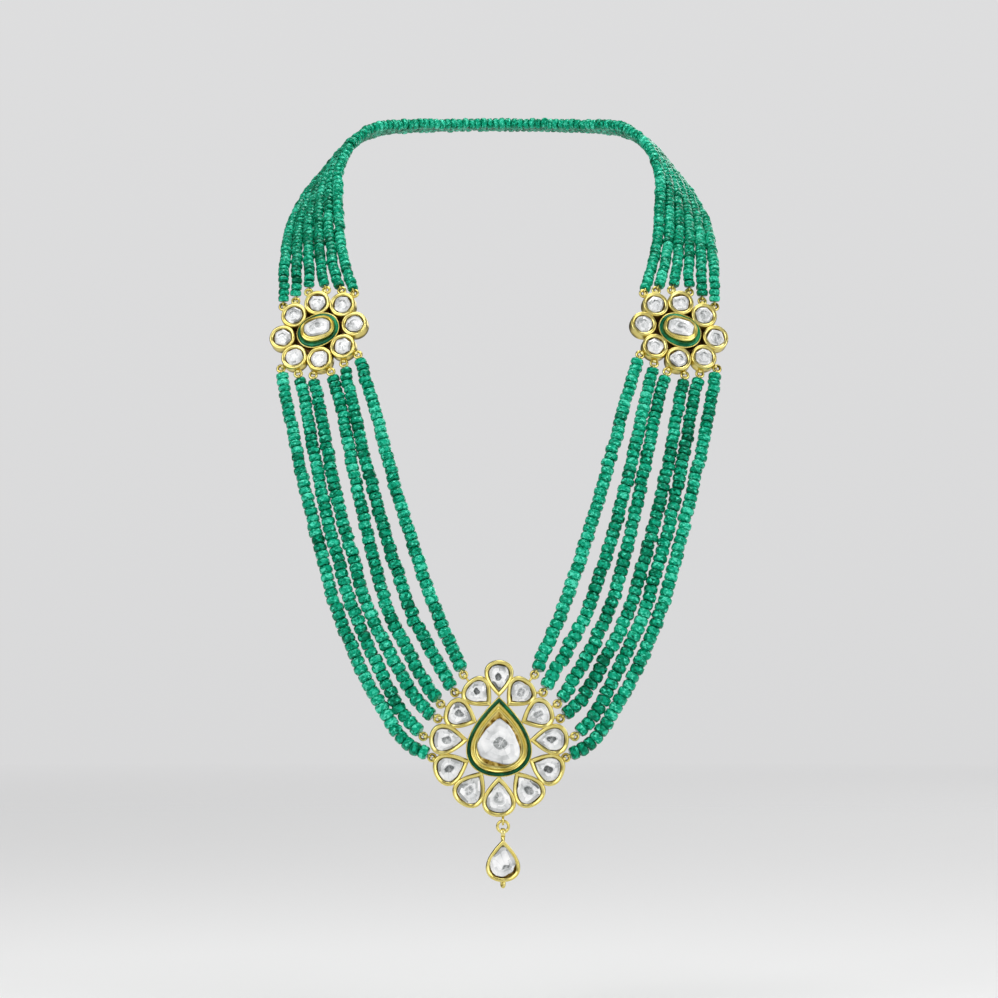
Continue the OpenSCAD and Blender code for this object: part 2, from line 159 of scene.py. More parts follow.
# Numbers and curves
def unit(v):
    return np.asarray(v, float) / np.linalg.norm(v)


def sin(degrees):
    return np.sin(np.radians(degrees))


def cos(degrees):
    return np.cos(np.radians(degrees))


def mix(ends, share):
    return ends[0] + (ends[1] - ends[0]) * share


def angles(steps):
    """Equal steps round a circle, in radians."""
    return np.arange(steps) * 2 * np.pi / steps


def turned(x, z, degrees):
    """Points turned anticlockwise."""
    return np.stack([x * cos(degrees) - z * sin(degrees), x * sin(degrees) + z * cos(degrees)], -1)


def spline(p, steps):
    """A smooth curve through all points but the first and last, which steer its ends."""
    t = np.arange(steps)[:, None] / steps
    pieces = []
    for a, b, c, d in zip(p, p[1:], p[2:], p[3:]):
        square, cube = 2 * a - 5 * b + 4 * c - d, 3 * b - 3 * c + d - a
        pieces.append((2 * b + (c - a) * t + square * t ** 2 + cube * t ** 3) / 2)
    return np.vstack(pieces)


def distances(line):
    """How far along a line each of its points lies."""
    return np.r_[0, np.cumsum(np.linalg.norm(np.diff(line, axis=0), axis=1))]


def along(line, s):
    """Where a line is at distances along it."""
    dist = distances(line)
    return np.stack([np.interp(s, dist, column) for column in line.T], -1)


def bearings(p):
    """Directions of points from the origin, in radians from the right."""
    return np.arctan2(p[:, 1], p[:, 0])


def reach_at(outline, t):
    """How far an outline round the origin reaches in some directions."""
    return np.interp(t, bearings(outline), np.hypot(*outline.T), period=2 * np.pi)


# Outlines. Each gives its points at an inset from the outer edge, which may differ from point to point.
# A pear's tip moves in by TIP_SHARE for an inset of one.
STEPS = 72
TIP_SHARE = math.sqrt(2)
PEAR_WIDTH = 1 / max(sin(t) * sin(t / 2) for t in range(181))


def pear(width, length, tip, bearing):
    """A pear with its tip at a place and its round end facing a bearing, clockwise from up."""
    t = angles(STEPS)

    def outline(inset=0.0):
        wide = width / 2 - inset
        long = length / 2 - inset * (1 + TIP_SHARE) / 2
        x = wide * PEAR_WIDTH * np.sin(t) * np.abs(np.sin(t / 2))
        return turned(x, inset * TIP_SHARE + long * (1 - np.cos(t)), -bearing) + tip
    return outline


def oval(length, width, turn=0.0, centre=(0, 0), steps=STEPS):
    t = angles(steps)

    def outline(inset=0.0):
        return turned((length / 2 - inset) * np.cos(t), (width / 2 - inset) * np.sin(t), turn) + centre
    return outline


def wobble(size, waves=(2, 3, 5, 7)):
    """A smooth unevenness round an outline, as hand work has."""
    t = angles(STEPS)
    return size * sum(rng.normal() * np.sin(k * t + rng.uniform(0, 2 * np.pi)) for k in waves) / len(waves)


# Places
def chest_y(x, z):
    """How far forward the chest lies, as a bowl round the pendant."""
    return -PENDANT_FORWARD + x * x / (2 * CHEST_SIDE_R) + (z + PENDANT_DROP) ** 2 / (2 * CHEST_HEIGHT_R)


MEDALLION_X = MEDALLION_SPAN / 2
MEDALLION_AT = np.array([-MEDALLION_X, chest_y(MEDALLION_X, -MEDALLION_DROP), -MEDALLION_DROP])
PENDANT_AT = np.array([0, -PENDANT_FORWARD, -PENDANT_DROP])
DROP_AT = PENDANT_AT + [DROP_X, 0, 0]
# Directions across, up and out of the left medallion's face, and out of the pendant's
TILT = math.atan((PENDANT_DROP - MEDALLION_DROP) / CHEST_HEIGHT_R)
YAW = math.atan(MEDALLION_X / CHEST_SIDE_R)
FACE_X = np.array([math.cos(YAW), -math.sin(YAW), 0])
FACE_Z = np.array([math.sin(YAW) * math.sin(TILT), math.cos(YAW) * math.sin(TILT), math.cos(TILT)])
FACE_OUT = np.cross(FACE_X, FACE_Z)
FORWARD = np.array([0.0, -1.0, 0.0])


def at_depth(p, depth=0.0):
    """Points (x, z) of a face as (x, depth, z)."""
    p = np.asarray(p, float)
    return np.stack([p[..., 0], np.broadcast_to(depth, p.shape[:-1]), p[..., 1]], -1)


def on_medallion(p):
    """Turns (x, depth, z) of the left medallion into the frame."""
    return MEDALLION_AT + p[..., 0:1] * FACE_X - p[..., 1:2] * FACE_OUT + p[..., 2:3] * FACE_Z


def on_pendant(p):
    return PENDANT_AT + p


def on_drop(p):
    return DROP_AT + p


# Routes of the strands, on the left side
PETAL_LINE_STEPS = 120
ROUTE_STEPS = 24


def petal_places():
    """Centres of a medallion's petals, clockwise from the top one."""
    line = oval(*PETAL_OVAL, steps=PETAL_LINE_STEPS)()
    line = np.vstack([line, line[:1]])
    s = (PETAL_START - np.arange(PETAL_COUNT) / PETAL_COUNT) % 1 * distances(line)[-1]
    return turned(*along(line, s).T, OVAL_TURN)


PETALS = petal_places()


def eye_place(petal, bearing):
    """The middle of an eye that is soldered to a medallion's petal."""
    return PETALS[petal] + (PETAL_D / 2 + EYE_R + EYE_STAND) * np.array([cos(bearing), sin(bearing)])


def medallion_eye(petal, bearing):
    return on_medallion(at_depth(eye_place(petal, bearing)))


def pendant_eye(i):
    x, z, _ = PENDANT_EYES[i - 1]
    return on_pendant(at_depth((-x, z)))


def loop_at(eye, axis, towards):
    """Where a loop hangs on the wire of an eye, on the side of a point."""
    d = towards - eye
    return eye + EYE_R * unit(d - (d @ axis) * axis)


def neck_points(i):
    """Where a neck strand passes the rows of the ribbon."""
    centres = np.array([(-x, y, z) for x, y, z, _, _ in NECK], float)
    headings = np.vstack([centres[1] - centres[0], centres[2:] - centres[:-2], [1, 0, 0]])
    points = []
    for centre, heading, (*_, spacing, twist) in zip(centres, headings, NECK):
        heading = unit(heading)
        across = np.array([-cos(twist), sin(twist), 0])
        across = unit(across - (across @ heading) * heading)
        points.append(centre + spacing * (MIDDLE_STRAND - i) * across)
    return points


def neck_route(i):
    """A neck strand's points from the left medallion to the right one."""
    half = neck_points(i)
    side = [loop_at(medallion_eye(*TOP_EYES[i - 1]), FACE_OUT, half[0])] + half
    return np.array(side + [p * MIRROR for p in side[-2::-1]])


def chest_route(i):
    """A chest strand's points from the left medallion to the pendant."""
    places = [(row[i], row[0]) for row in CHEST] + [BEND[i - 1], TURN[i - 1]]
    inner = [np.array([-x, chest_y(x, z), z]) for x, z in places]
    return np.array([loop_at(medallion_eye(*LOW_EYES[i - 1]), FACE_OUT, inner[0])] + inner
                    + [loop_at(pendant_eye(i), FORWARD, inner[-1])])


def smooth(p):
    """Smooth curve through all points of a route."""
    p = np.vstack([2 * p[0] - p[1], p, 2 * p[-1] - p[-2]])
    return np.vstack([spline(p, ROUTE_STEPS), p[-2:-1]])


# Meshes
RING_STEPS = 36
RING_SIDES = 12
# Share of a rod's length and of its width, from end to end
ROD_ENDS = [(0, 0.8), (0.06, 1), (0.5, 1), (0.94, 1), (1, 0.8)]
# Tint of plain gold, and of what has no tint of its own
PLAIN_TINT = 0.5
# Angle over which an edge stays sharp, for each slot. Beads have flat faces.
CREASES = {"gold": 60, "enamel": 50, "stones": 4}


def shown(name, data):
    """A new object in the scene."""
    obj = bpy.data.objects.new(name, data)
    bpy.context.scene.collection.objects.link(obj)
    return obj


def turned_over(faces):
    return [f[::-1] for f in faces]


class Form:
    """A mesh in the making, in millimetres, with a material number and a tint for each face.

    A mirrored form is given the shape of the left side, and stands on the right."""

    def __init__(self, mirrored=False):
        self.points, self.faces, self.paints, self.tints = [], [], [], []
        self.count = 0
        self.mirrored = mirrored

    def add(self, points, faces, paints=0, tints=PLAIN_TINT):
        if self.mirrored:
            points, faces = points * MIRROR, turned_over(faces)
        self.points.append(points)
        self.faces += [[i + self.count for i in f] for f in faces]
        self.paints.append(np.broadcast_to(paints, len(faces)))
        self.tints.append(np.broadcast_to(tints, len(faces)))
        self.count += len(points)

    def piece(self, name, materials, body, slot, replaced=()):
        """Makes the object."""
        mesh = bpy.data.meshes.new(name)
        mesh.from_pydata((np.concatenate(self.points) * MM).tolist(), [], self.faces)
        for m in materials:
            mesh.materials.append(m)
        mesh.polygons.foreach_set("material_index", np.concatenate(self.paints).astype(np.int32))
        tint = mesh.attributes.new("tint", "FLOAT", "FACE")
        tint.data.foreach_set("value", np.concatenate(self.tints).astype(np.float32))
        mesh.polygons.foreach_set("use_smooth", np.full(len(mesh.polygons), slot in CREASES))
        if slot in CREASES:
            mesh.set_sharp_from_angle(angle=math.radians(CREASES[slot]))
        mesh.update()
        obj = shown(name, mesh)
        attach(obj, body)
        if replaced:
            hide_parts(*replaced)


def end_faces(rings, sides):
    """The faces that close the first and the last of some rings."""
    return [list(range(sides))[::-1], [(rings - 1) * sides + i for i in range(sides)]]


def skin(rings, closed=False):
    """Points and faces of a surface through rings, with ends or closed on itself."""
    rings = np.asarray(rings, float)
    m, n, _ = rings.shape
    faces = []
    for r in range(m if closed else m - 1):
        a, b = r * n, (r + 1) % m * n
        faces += [[a + i, a + (i + 1) % n, b + (i + 1) % n, b + i] for i in range(n)]
    return rings.reshape(-1, 3), faces if closed else faces + end_faces(m, n)


def across_to(axis):
    """Two directions across an axis."""
    axis = unit(axis)
    side = unit(np.cross(axis, [0.0, 0, 1] if abs(axis[2]) < 0.9 else [1.0, 0, 0]))
    return side, np.cross(axis, side)


def circle(centre, axis, radius, sides=RING_SIDES):
    u, v = across_to(axis)
    t = angles(sides)[:, None]
    return centre + radius * (np.cos(t) * u + np.sin(t) * v)


def torus(centre, axis, radius, wire, steps=RING_STEPS, sides=RING_SIDES, coils=0, groove=0.0):
    """A ring of wire across an axis, plain or coiled."""
    axis = unit(axis)
    u, v = across_to(axis)
    t = angles(sides)[:, None]
    rings = []
    for a in angles(steps):
        out = math.cos(a) * u + math.sin(a) * v
        r = wire / 2 * (1 - groove * (0.5 + 0.5 * math.cos(coils * a)))
        rings.append(centre + radius * out + r * (np.cos(t) * out + np.sin(t) * axis))
    points, faces = skin(rings, closed=True)
    return points, turned_over(faces)


def rod(a, b, width):
    """A round rod from a to b, with soft ends."""
    return skin([circle(a + (b - a) * share, b - a, width / 2 * size) for share, size in ROD_ENDS])


def tube(line, radius, sides):
    ahead, behind = np.vstack([line[1:], line[-1:]]), np.vstack([line[:1], line[:-1]])
    return skin([circle(c, d, radius, sides) for c, d in zip(line, ahead - behind)])


def ball(centre, radius, steps=16, rows=9):
    t = angles(steps)
    rings = []
    for a in np.linspace(-np.pi / 2, np.pi / 2, rows + 2)[1:-1]:
        ring = [math.cos(a) * np.cos(t), math.cos(a) * np.sin(t), np.full(steps, math.sin(a))]
        rings.append(centre + radius * np.stack(ring, 1))
    return skin(rings)


# Materials. They read the tint of each face, and sizes in them are in metres.
NOISE_ROUGHNESS = 0.55


class Nodes:
    """The nodes of a material or the world."""

    def __init__(self, owner):
        owner.use_nodes = True
        self.owner, self.nodes, self.links = owner, owner.node_tree.nodes, owner.node_tree.links

    def set(self, node, inputs):
        """Gives a node's inputs, by name or number, a value or a link."""
        for key, value in inputs.items():
            if isinstance(value, bpy.types.NodeSocket):
                self.links.new(value, node.inputs[key])
            else:
                node.inputs[key].default_value = value
        return node

    def add(self, kind, inputs):
        return self.set(self.nodes.new("ShaderNode" + kind), inputs)

    def place(self, kind):
        return self.add("TexCoord", {}).outputs[kind]

    def maths(self, operation, *values, clamp=False):
        node = self.nodes.new("ShaderNodeMath")
        node.operation = operation
        node.use_clamp = clamp
        return self.set(node, dict(enumerate(values))).outputs["Value"]

    def scaled(self, value, factor, plus):
        return self.maths("MULTIPLY_ADD", value, factor, plus)

    def ramp(self, source, stops):
        """Colours between stops of a value and its red, green and blue."""
        node = self.add("ValToRGB", {"Fac": source})
        elements = node.color_ramp.elements
        elements.remove(elements[0])
        elements[0].position = stops[0][0]
        elements[0].color = (*stops[0][1], 1)
        for position, colour in stops[1:]:
            elements.new(position).color = (*colour, 1)
        return node.outputs["Color"]

    def noise(self, scale, detail=3):
        place = self.place("Object")
        node = self.add("TexNoise", {"Vector": place, "Scale": scale, "Detail": detail})
        return self.set(node, {"Roughness": NOISE_ROUGHNESS}).outputs["Fac"]

    def clouded(self, scale, spread, detail=3):
        """The tint of each face, made uneven by a cloud."""
        tint = self.nodes.new("ShaderNodeAttribute")
        tint.attribute_name = "tint"
        cloud = self.scaled(self.noise(scale, detail), spread, -spread / 2)
        return self.maths("ADD", tint.outputs["Fac"], cloud, clamp=True)

    def bump(self, scale, strength, distance, detail=2):
        height = self.noise(scale, detail)
        node = self.add("Bump", {"Height": height, "Strength": strength, "Distance": distance})
        return node.outputs["Normal"]

    def finished(self, inputs):
        """The material, with these inputs of its shader."""
        self.set(self.nodes["Principled BSDF"], inputs)
        return self.owner


def surface(name):
    return Nodes(bpy.data.materials.new(name))


def emerald():
    s = surface("emerald")
    return s.finished({
        "Base Color": s.ramp(s.clouded(scale=800, spread=0.55), [
            (0.0, (0.0003, 0.058, 0.020)), (0.3, (0.0006, 0.150, 0.066)), (0.55, (0.0020, 0.295, 0.150)),
            (0.8, (0.010, 0.470, 0.270)), (1.0, (0.10, 0.78, 0.52))]),
        "Roughness": 0.14,
        "IOR": 1.58,
        "Specular Tint": (0.12, 1.0, 0.72, 1),
        "Transmission Weight": 0.1,
        "Normal": s.bump(scale=2500, strength=0.15, distance=0.0002)})


def gold():
    """Bright gold where the tint is plain, and dark as painted shade where it is near 0."""
    s = surface("gold")
    return s.finished({
        "Base Color": s.ramp(s.clouded(scale=240, spread=1.0), [
            (0.0, (0.12, 0.095, 0.012)), (0.24, (0.68, 0.55, 0.13)), (0.3, (0.73, 0.595, 0.157)),
            (0.55, (0.80, 0.688, 0.232)), (0.8, (0.87, 0.79, 0.36))]),
        "Metallic": 1.0,
        "Roughness": s.scaled(s.noise(scale=700, detail=2), 0.10, 0.25),
        "Normal": s.bump(scale=420, strength=0.04, distance=0.0002)})


def seam():
    """The gold between a rim and its stone, painted dark in patches as the shade in that gap."""
    s = surface("seam")
    return s.finished({
        "Base Color": s.ramp(s.noise(scale=500), [
            (0.35, (0.13, 0.065, 0.008)), (0.5, (0.44, 0.28, 0.05)), (0.65, (0.82, 0.64, 0.20))]),
        "Metallic": 1.0,
        "Roughness": 0.3})


def recess():
    """The plate between the medallion's petals, painted dark red-brown as the shade between them."""
    s = surface("recess")
    return s.finished({
        "Base Color": s.ramp(s.noise(scale=500), [
            (0.35, (0.016, 0.007, 0.002)), (0.7, (0.13, 0.050, 0.009))]),
        "Metallic": 0.7,
        "Roughness": 0.35})


def enamel():
    s = surface("enamel")
    return s.finished({
        "Base Color": s.ramp(s.clouded(scale=180, spread=1.9, detail=2), [
            (0.1, (0.0003, 0.010, 0.004)), (0.5, (0.0012, 0.055, 0.024)), (0.9, (0.012, 0.230, 0.100))]),
        "Roughness": 0.10,
        "IOR": 1.6,
        "Specular Tint": (0.25, 1.0, 0.55, 1),
        "Normal": s.bump(scale=500, strength=0.08, distance=0.0003)})


def polki():
    """Flat-cut stone over silver foil: black, grey or white by the tint of each facet."""
    s = surface("polki")
    broad = s.scaled(s.noise(scale=190, detail=1), 0.7, -0.35)
    tint = s.maths("ADD", s.clouded(scale=620, spread=0.22, detail=4), broad, clamp=True)
    return s.finished({
        "Base Color": s.ramp(tint, [
            (0.0, (0.018, 0.020, 0.020)), (0.25, (0.095, 0.105, 0.105)), (0.5, (0.33, 0.345, 0.345)),
            (0.75, (0.70, 0.71, 0.715)), (1.0, (0.95, 0.95, 0.95))]),
        "Roughness": 0.16,
        "Coat Weight": 0.8,
        "Coat Roughness": 0.03,
        "Normal": s.bump(scale=350, strength=0.12, distance=0.0005, detail=3)})


EMERALD = emerald()
GOLD = gold()
SEAM_SHADE = seam()
RECESS_SHADE = recess()
ENAMEL = enamel()
POLKI = polki()
# Places of the materials in a setting's list
SEAM_SHADE_PAINT = 1
RECESS_SHADE_PAINT = 2

# Beads. Rows of corners: place along the axis, radius, turn in half sides
BEAD_SIDES = 12
BEAD_ROWS = [(-1, 0.76, 0), (-0.72, 0.93, 1), (-0.3, 1, 0), (0.3, 1, 1), (0.72, 0.93, 0), (1, 0.76, 1)]
BEAD_KINDS = 9
# How uneven a bead's corners are: round its axis in radians, and outwards and along it as shares
CORNER_ROUND = 0.06
CORNER_OUT = 0.025
CORNER_ALONG = 0.07
# How far beads lean, vary in size and stand off the thread, and the gap at their ends
BEAD_LEAN = 0.05
BEAD_SIZES = (0.96, 1.03)
BEAD_SHIFT = 0.07
BEAD_GAP = 0.02
# Light of each strand, from the outer to the inner one, and how the tone goes on from bead to bead
STRAND_LIGHT = [0.6, 0.5, 0.5, 0.51, 0.52, 0.59]
TONE_KEPT = 0.45
TONE_CHANGE = 0.11
# Share of beads that are darker, and by how much
DARK_BEADS = 0.03
DARKER = (-0.3, -0.2)
# Painted shade and light on each band of facets and the two flat ends: darker where beads touch, lighter
# mid-bead
BAND_SHADE_AND_LIGHT = np.r_[np.repeat([-0.16, 0.0, 0.05, 0.0, -0.16], 2 * BEAD_SIDES), [-0.25, -0.25]]
# How much facets differ, the share of them that carry a painted glint, and how much lighter it is
FACET_CHANGE = 0.18
GLINT_SHARE = 0.07
GLINT_LIGHT = 0.45
# The thread: radius, sides, tint, and where it starts as a share of the loop's reach
THREAD_R = 0.3
THREAD_SIDES = 6
THREAD_TINT = 0.2
THREAD_IN_LOOP = 0.3
# Bead diameter and pitch at a strand's start and end, and how much fuller its beads are than in CAD
Stretch = namedtuple("Stretch", "bead_d pitch fullness")
NECK_STRETCH = Stretch((NECK_BEAD_D, NECK_BEAD_D), (NECK_PITCH, NECK_PITCH), 1.10)
CHEST_STRETCH = Stretch((CHEST_BEAD_D, LOW_BEAD_D), (NECK_PITCH, LOW_PITCH), 1.09)


def bead_kind():
    """Corners of a hand-faceted bead with a radius and half length of one."""
    rows = []
    for k, (z, r, half) in enumerate(BEAD_ROWS):
        uneven = 0 < k < len(BEAD_ROWS) - 1
        t = angles(BEAD_SIDES) + half * np.pi / BEAD_SIDES + rng.normal(0, CORNER_ROUND, BEAD_SIDES)
        out = r * (1 + rng.normal(0, CORNER_OUT * uneven, BEAD_SIDES))
        z = z + rng.normal(0, CORNER_ALONG * uneven, BEAD_SIDES)
        rows.append(np.stack([out * np.cos(t), out * np.sin(t), z], 1))
    return np.vstack(rows)


def bead_faces():
    """Bands of triangles from row to row, and the two ends."""
    n, faces = BEAD_SIDES, []
    for k in range(len(BEAD_ROWS) - 1):
        a, b = k * n, (k + 1) * n
        leads = BEAD_ROWS[k][2] < BEAD_ROWS[k + 1][2]
        for i in range(n):
            j = (i + 1) % n
            if leads:
                faces += [[a + i, a + j, b + i], [a + j, b + j, b + i]]
            else:
                faces += [[a + i, a + j, b + j], [a + i, b + j, b + i]]
    return faces + end_faces(len(BEAD_ROWS), n)


KINDS = [bead_kind() for _ in range(BEAD_KINDS)]
BEAD_FACES = bead_faces()


def bead_cuts(total, start, end):
    """Where the beads of a strand begin and end, with their pitch at its start and end."""
    mean = (start + end) / 2
    n = round(total / mean)
    k = np.arange(n + 1)
    return LOOP_REACH + total * (start * k + (end - start) * k * k / (2 * n)) / (n * mean)


def strung_bead(start, end, width):
    """A bead of any kind between two places, a little tilted, turned and off its thread."""
    step = end - start
    axis = unit(unit(step) + rng.normal(0, BEAD_LEAN, 3))
    u, v = across_to(axis)
    points = KINDS[rng.integers(BEAD_KINDS)]
    turn = rng.uniform(0, 2 * np.pi)
    x = points[:, 0:1] * math.cos(turn) - points[:, 1:2] * math.sin(turn)
    y = points[:, 0:1] * math.sin(turn) + points[:, 1:2] * math.cos(turn)
    radius = width / 2 * rng.uniform(*BEAD_SIZES)
    half = np.linalg.norm(step) / 2 - BEAD_GAP
    shift = rng.normal(0, BEAD_SHIFT, 2)
    x, y, z = radius * (x + shift[0]), radius * (y + shift[1]), half * points[:, 2:3]
    return (start + end) / 2 + x * u + y * v + z * axis


def bead_tints(tone):
    """Tints of a bead's facets. Some beads are darker, and some facets carry a painted glint."""
    own = tone + (rng.uniform(*DARKER) if rng.random() < DARK_BEADS else 0)
    change = rng.normal(0, FACET_CHANGE, len(BEAD_FACES))
    glint = GLINT_LIGHT * (rng.random(len(BEAD_FACES)) < GLINT_SHARE)
    return np.clip(own + BAND_SHADE_AND_LIGHT + change + glint, 0, 1)


def strand(name, route, stretch, light, replaced, mirrored=False):
    """Beads on their thread along a route, with a colour of their own for each bead."""
    line = smooth(route)
    length = distances(line)[-1]
    cuts = along(line, bead_cuts(length - 2 * LOOP_REACH, *stretch.pitch))
    count = len(cuts) - 1
    form = Form(mirrored)
    tone = light
    for k in range(count):
        width = mix(stretch.bead_d, k / count) * stretch.fullness
        points = strung_bead(cuts[k], cuts[k + 1], width)
        tone = light + TONE_KEPT * (tone - light) + rng.normal(0, TONE_CHANGE)
        form.add(points, BEAD_FACES, tints=bead_tints(tone))
    ends = LOOP_REACH * THREAD_IN_LOOP
    thread = along(line, np.linspace(ends, length - ends, count))
    form.add(*tube(thread, THREAD_R, THREAD_SIDES), tints=THREAD_TINT)
    form.piece(name, [EMERALD], "necklace", "beads", [replaced])


# The loops of coiled wire that tie the strands to the eyes
LOOP_R = (LOOP_D - LOOP_WIRE) / 2
LOOP_FULLNESS = 1.15
LOOP_STEPS = 48
LOOP_SIDES = 8
LOOP_COILS = 16
LOOP_GROOVE = 0.22


def end_loops():
    form = Form()
    for i in STRANDS:
        chest = chest_route(i)
        for eye, axis, towards in (
                (medallion_eye(*TOP_EYES[i - 1]), FACE_OUT, neck_points(i)[0]),
                (medallion_eye(*LOW_EYES[i - 1]), FACE_OUT, chest[1]),
                (pendant_eye(i), FORWARD, chest[-2])):
            p = loop_at(eye, axis, towards)
            points, faces = torus(p, np.cross(axis, p - eye), LOOP_R, LOOP_WIRE * LOOP_FULLNESS,
                                  LOOP_STEPS, LOOP_SIDES, LOOP_COILS, LOOP_GROOVE)
            form.add(points, faces)
            form.add(points * MIRROR, turned_over(faces))
    form.piece("strand_end_loops", [GOLD], "necklace", "gold")


# Settings. A row of a profile is an inset, a depth, and a share of the unevenness.
# How uneven rims are, and how uneven in depth as a share of that
RIM_UNEVEN = 0.08
DEPTH_UNEVEN = 0.7
# How far a setting's back is domed, how far in from its edge the dome reaches, and its rows as shares
DOME = 0.42
PETAL_DOME_REACH = 3.6
CENTRE_DOME_REACH = 5.0
DOME_SHARES = (1, 0.75, 0.5, 0.25)
# How much darker a wall is painted towards its back as shade, and the most inset that counts as the wall
WALL_SHADE = 0.6
WALL_INSET = 0.1

# Petal settings: rows of the back's edge, shares of the way up the wall, and rows of the rim
BACK_ROWS = [(0.35, 0, 0), (0.08, -0.12, 0), (0, -0.4, 0)]
WALL_SHARES = (0.2, 0.4, 0.6, 0.8, 1)
WALL_UNEVEN = 0.3
WALL_TOP = 1.3
RIM_ROWS = [(0.04, 0.62, 0.6), (0.16, 0.24, 0.8), (0.36, 0.04, 1), (0.55, 0, 1)]
# The slope from crest to seam: rows as shares of its width and of how far it sinks
SLOPE_ROWS = [(0.3, 0.3), (0.7, 0.67)]
CREST_DEPTH = 0.04
SEAM_W = 0.04
SEAM_DEPTH = 0.16
BED_REACH = 0.5
BED_DEPTH = 1.3
# Width of a wall from its outer edge to the stone, inset of its crest, and how far its slope sinks
Wall = namedtuple("Wall", "width crest sink")
PETAL_WALL = Wall(1.5, 0.75, 0.54)
ROUND_WALL = Wall(1.45, 0.95, 0.36)

# Raised centres: rows of the back's edge, of the gold edge outside the enamel, of the bezel's two ridges as
# shares of its width, and of the stone's bed
LOW_ROWS = [(0.3, 0, 0), (0, -0.3, 0)]
EDGE_ROWS = [(0, 0.1, 0.2), (0.06, -0.1, 0.3), (0.2, -0.16, 0.3), (0.35, -0.1, 0.3), (RIM_W, 0.1, 0.3)]
CHANNEL_DEPTH = 0.6
CHANNEL_GAP = 0.02
RIDGES = [(0.02, 0.5), (0.06, 0.18), (0.16, 0), (0.26, 0.1), (0.4, 0.5), (0.52, 0.6), (0.62, 0.4),
          (0.73, 0.2), (0.83, 0.26), (0.93, 0.48), (1, 0.84)]
BED_ROWS = [(0.5, 1.05), (3.0, 1.3)]
CENTRE_WALL_W = 1.9
OVAL_WALL_W = 1.3
OVAL_RELIEF = 0.75
# Enamel: its gap to the channel's sides, its depth in the channel and its tint
ENAMEL_GAP = 0.01
ENAMEL_DEPTH = 0.55
OVAL_ENAMEL_TINT = 0.65
PEAR_ENAMEL_TINT = 0.33


def rings_of(outline, profile, place, uneven=0.0):
    """Rings that follow an outline at the insets and depths of a profile."""
    rough_in, rough_deep = wobble(uneven), wobble(uneven * DEPTH_UNEVEN)
    return [place(at_depth(outline(inset + rough_in * share), depth + rough_deep * share))
            for inset, depth, share in profile]


def rows_from(depth, rows):
    """Rows of a profile whose depths are given from another depth."""
    return [(inset, depth + deeper, uneven) for inset, deeper, uneven in rows]


def domed_back(back, edge, reach):
    """Rows of a slightly domed back, from near its middle to its edge."""
    return [(mix((edge, reach), share), back + DOME * (1 - (1 - share) ** 2), 0) for share in DOME_SHARES]


def wall_profile(front, back, wall):
    """A petal setting: back, side wall, rounded rim, and the slope that sinks to the stone's seam."""
    sides = (back + BACK_ROWS[-1][1], front + WALL_TOP)
    slope = wall.width - wall.crest
    return [
        *domed_back(back, BACK_ROWS[0][0], PETAL_DOME_REACH),
        *rows_from(back, BACK_ROWS),
        *((0.0, mix(sides, share), WALL_UNEVEN * share) for share in WALL_SHARES),
        *rows_from(front, RIM_ROWS),
        (wall.crest, front + CREST_DEPTH, 1),
        *((wall.crest + across * slope, front + down * wall.sink, 1) for across, down in SLOPE_ROWS),
        (wall.width - SEAM_W, front + wall.sink, 1),
        (wall.width, front + wall.sink + SEAM_DEPTH, 0.5),
        (wall.width + BED_REACH, front + BED_DEPTH, 0)]


def centre_profile(bezel, width, relief=1.0):
    """A raised centre: gold edge, channel for the enamel, bezel with two ridges, and bed for the stone."""
    channel = ENAMEL_FRONT + CHANNEL_DEPTH
    return [
        *domed_back(CENTRE_BACK, LOW_ROWS[0][0], CENTRE_DOME_REACH),
        *rows_from(CENTRE_BACK, LOW_ROWS),
        *rows_from(ENAMEL_FRONT, EDGE_ROWS),
        (RIM_W + CHANNEL_GAP, channel, 0), (bezel - CHANNEL_GAP, channel, 0), (bezel, ENAMEL_FRONT, 0.3),
        *((bezel + share * width, CENTRE_FRONT + relief * depth, 1) for share, depth in RIDGES),
        *((bezel + width + inset, CENTRE_FRONT + depth, 1) for inset, depth in BED_ROWS)]


def wall_tints(profile):
    """The tint of each face of a setting: plain gold, but painted darker as shade down its outer wall."""
    insets, depths, _ = np.array(profile).T
    share = ((depths[:-1] + depths[1:]) / 2 - depths.min()) / (depths.max() - depths.min())
    wall = np.maximum(insets[:-1], insets[1:]) < WALL_INSET
    return np.r_[np.repeat(PLAIN_TINT - WALL_SHADE * share * wall, STEPS), [PLAIN_TINT, PLAIN_TINT]]


def setting(form, outline, profile, place):
    """A wall that follows an outline. Its last row and floor are the seam under the stone, painted dark as
    shade.
    """
    points, faces = skin(rings_of(outline, profile, place, RIM_UNEVEN))
    paints = np.zeros(len(faces), int)
    paints[-2 - STEPS:-2] = SEAM_SHADE_PAINT
    paints[-1] = SEAM_SHADE_PAINT
    form.add(points, faces, paints, wall_tints(profile))


def enamel_ring(name, outline, bezel, place, replaced, tint, mirrored=False):
    """Enamel in the channel of a raised centre, a little proud of it."""
    outer, inner = RIM_W + ENAMEL_GAP, bezel - ENAMEL_GAP
    middle = (outer + inner) / 2
    rows = [(inner, ENAMEL_DEPTH, 0), (outer, ENAMEL_DEPTH, 0), (outer, 0.12, 0), (outer + 0.12, -0.04, 0),
            (middle - 0.22, -0.17, 0), (middle, -0.22, 0), (middle + 0.22, -0.17, 0),
            (inner - 0.12, -0.04, 0), (inner, 0.12, 0)]
    form = Form(mirrored)
    form.add(*skin(rings_of(outline, rows_from(ENAMEL_FRONT, rows), place), closed=True), tints=tint)
    form.piece(name, [ENAMEL], "necklace", "enamel", [replaced])
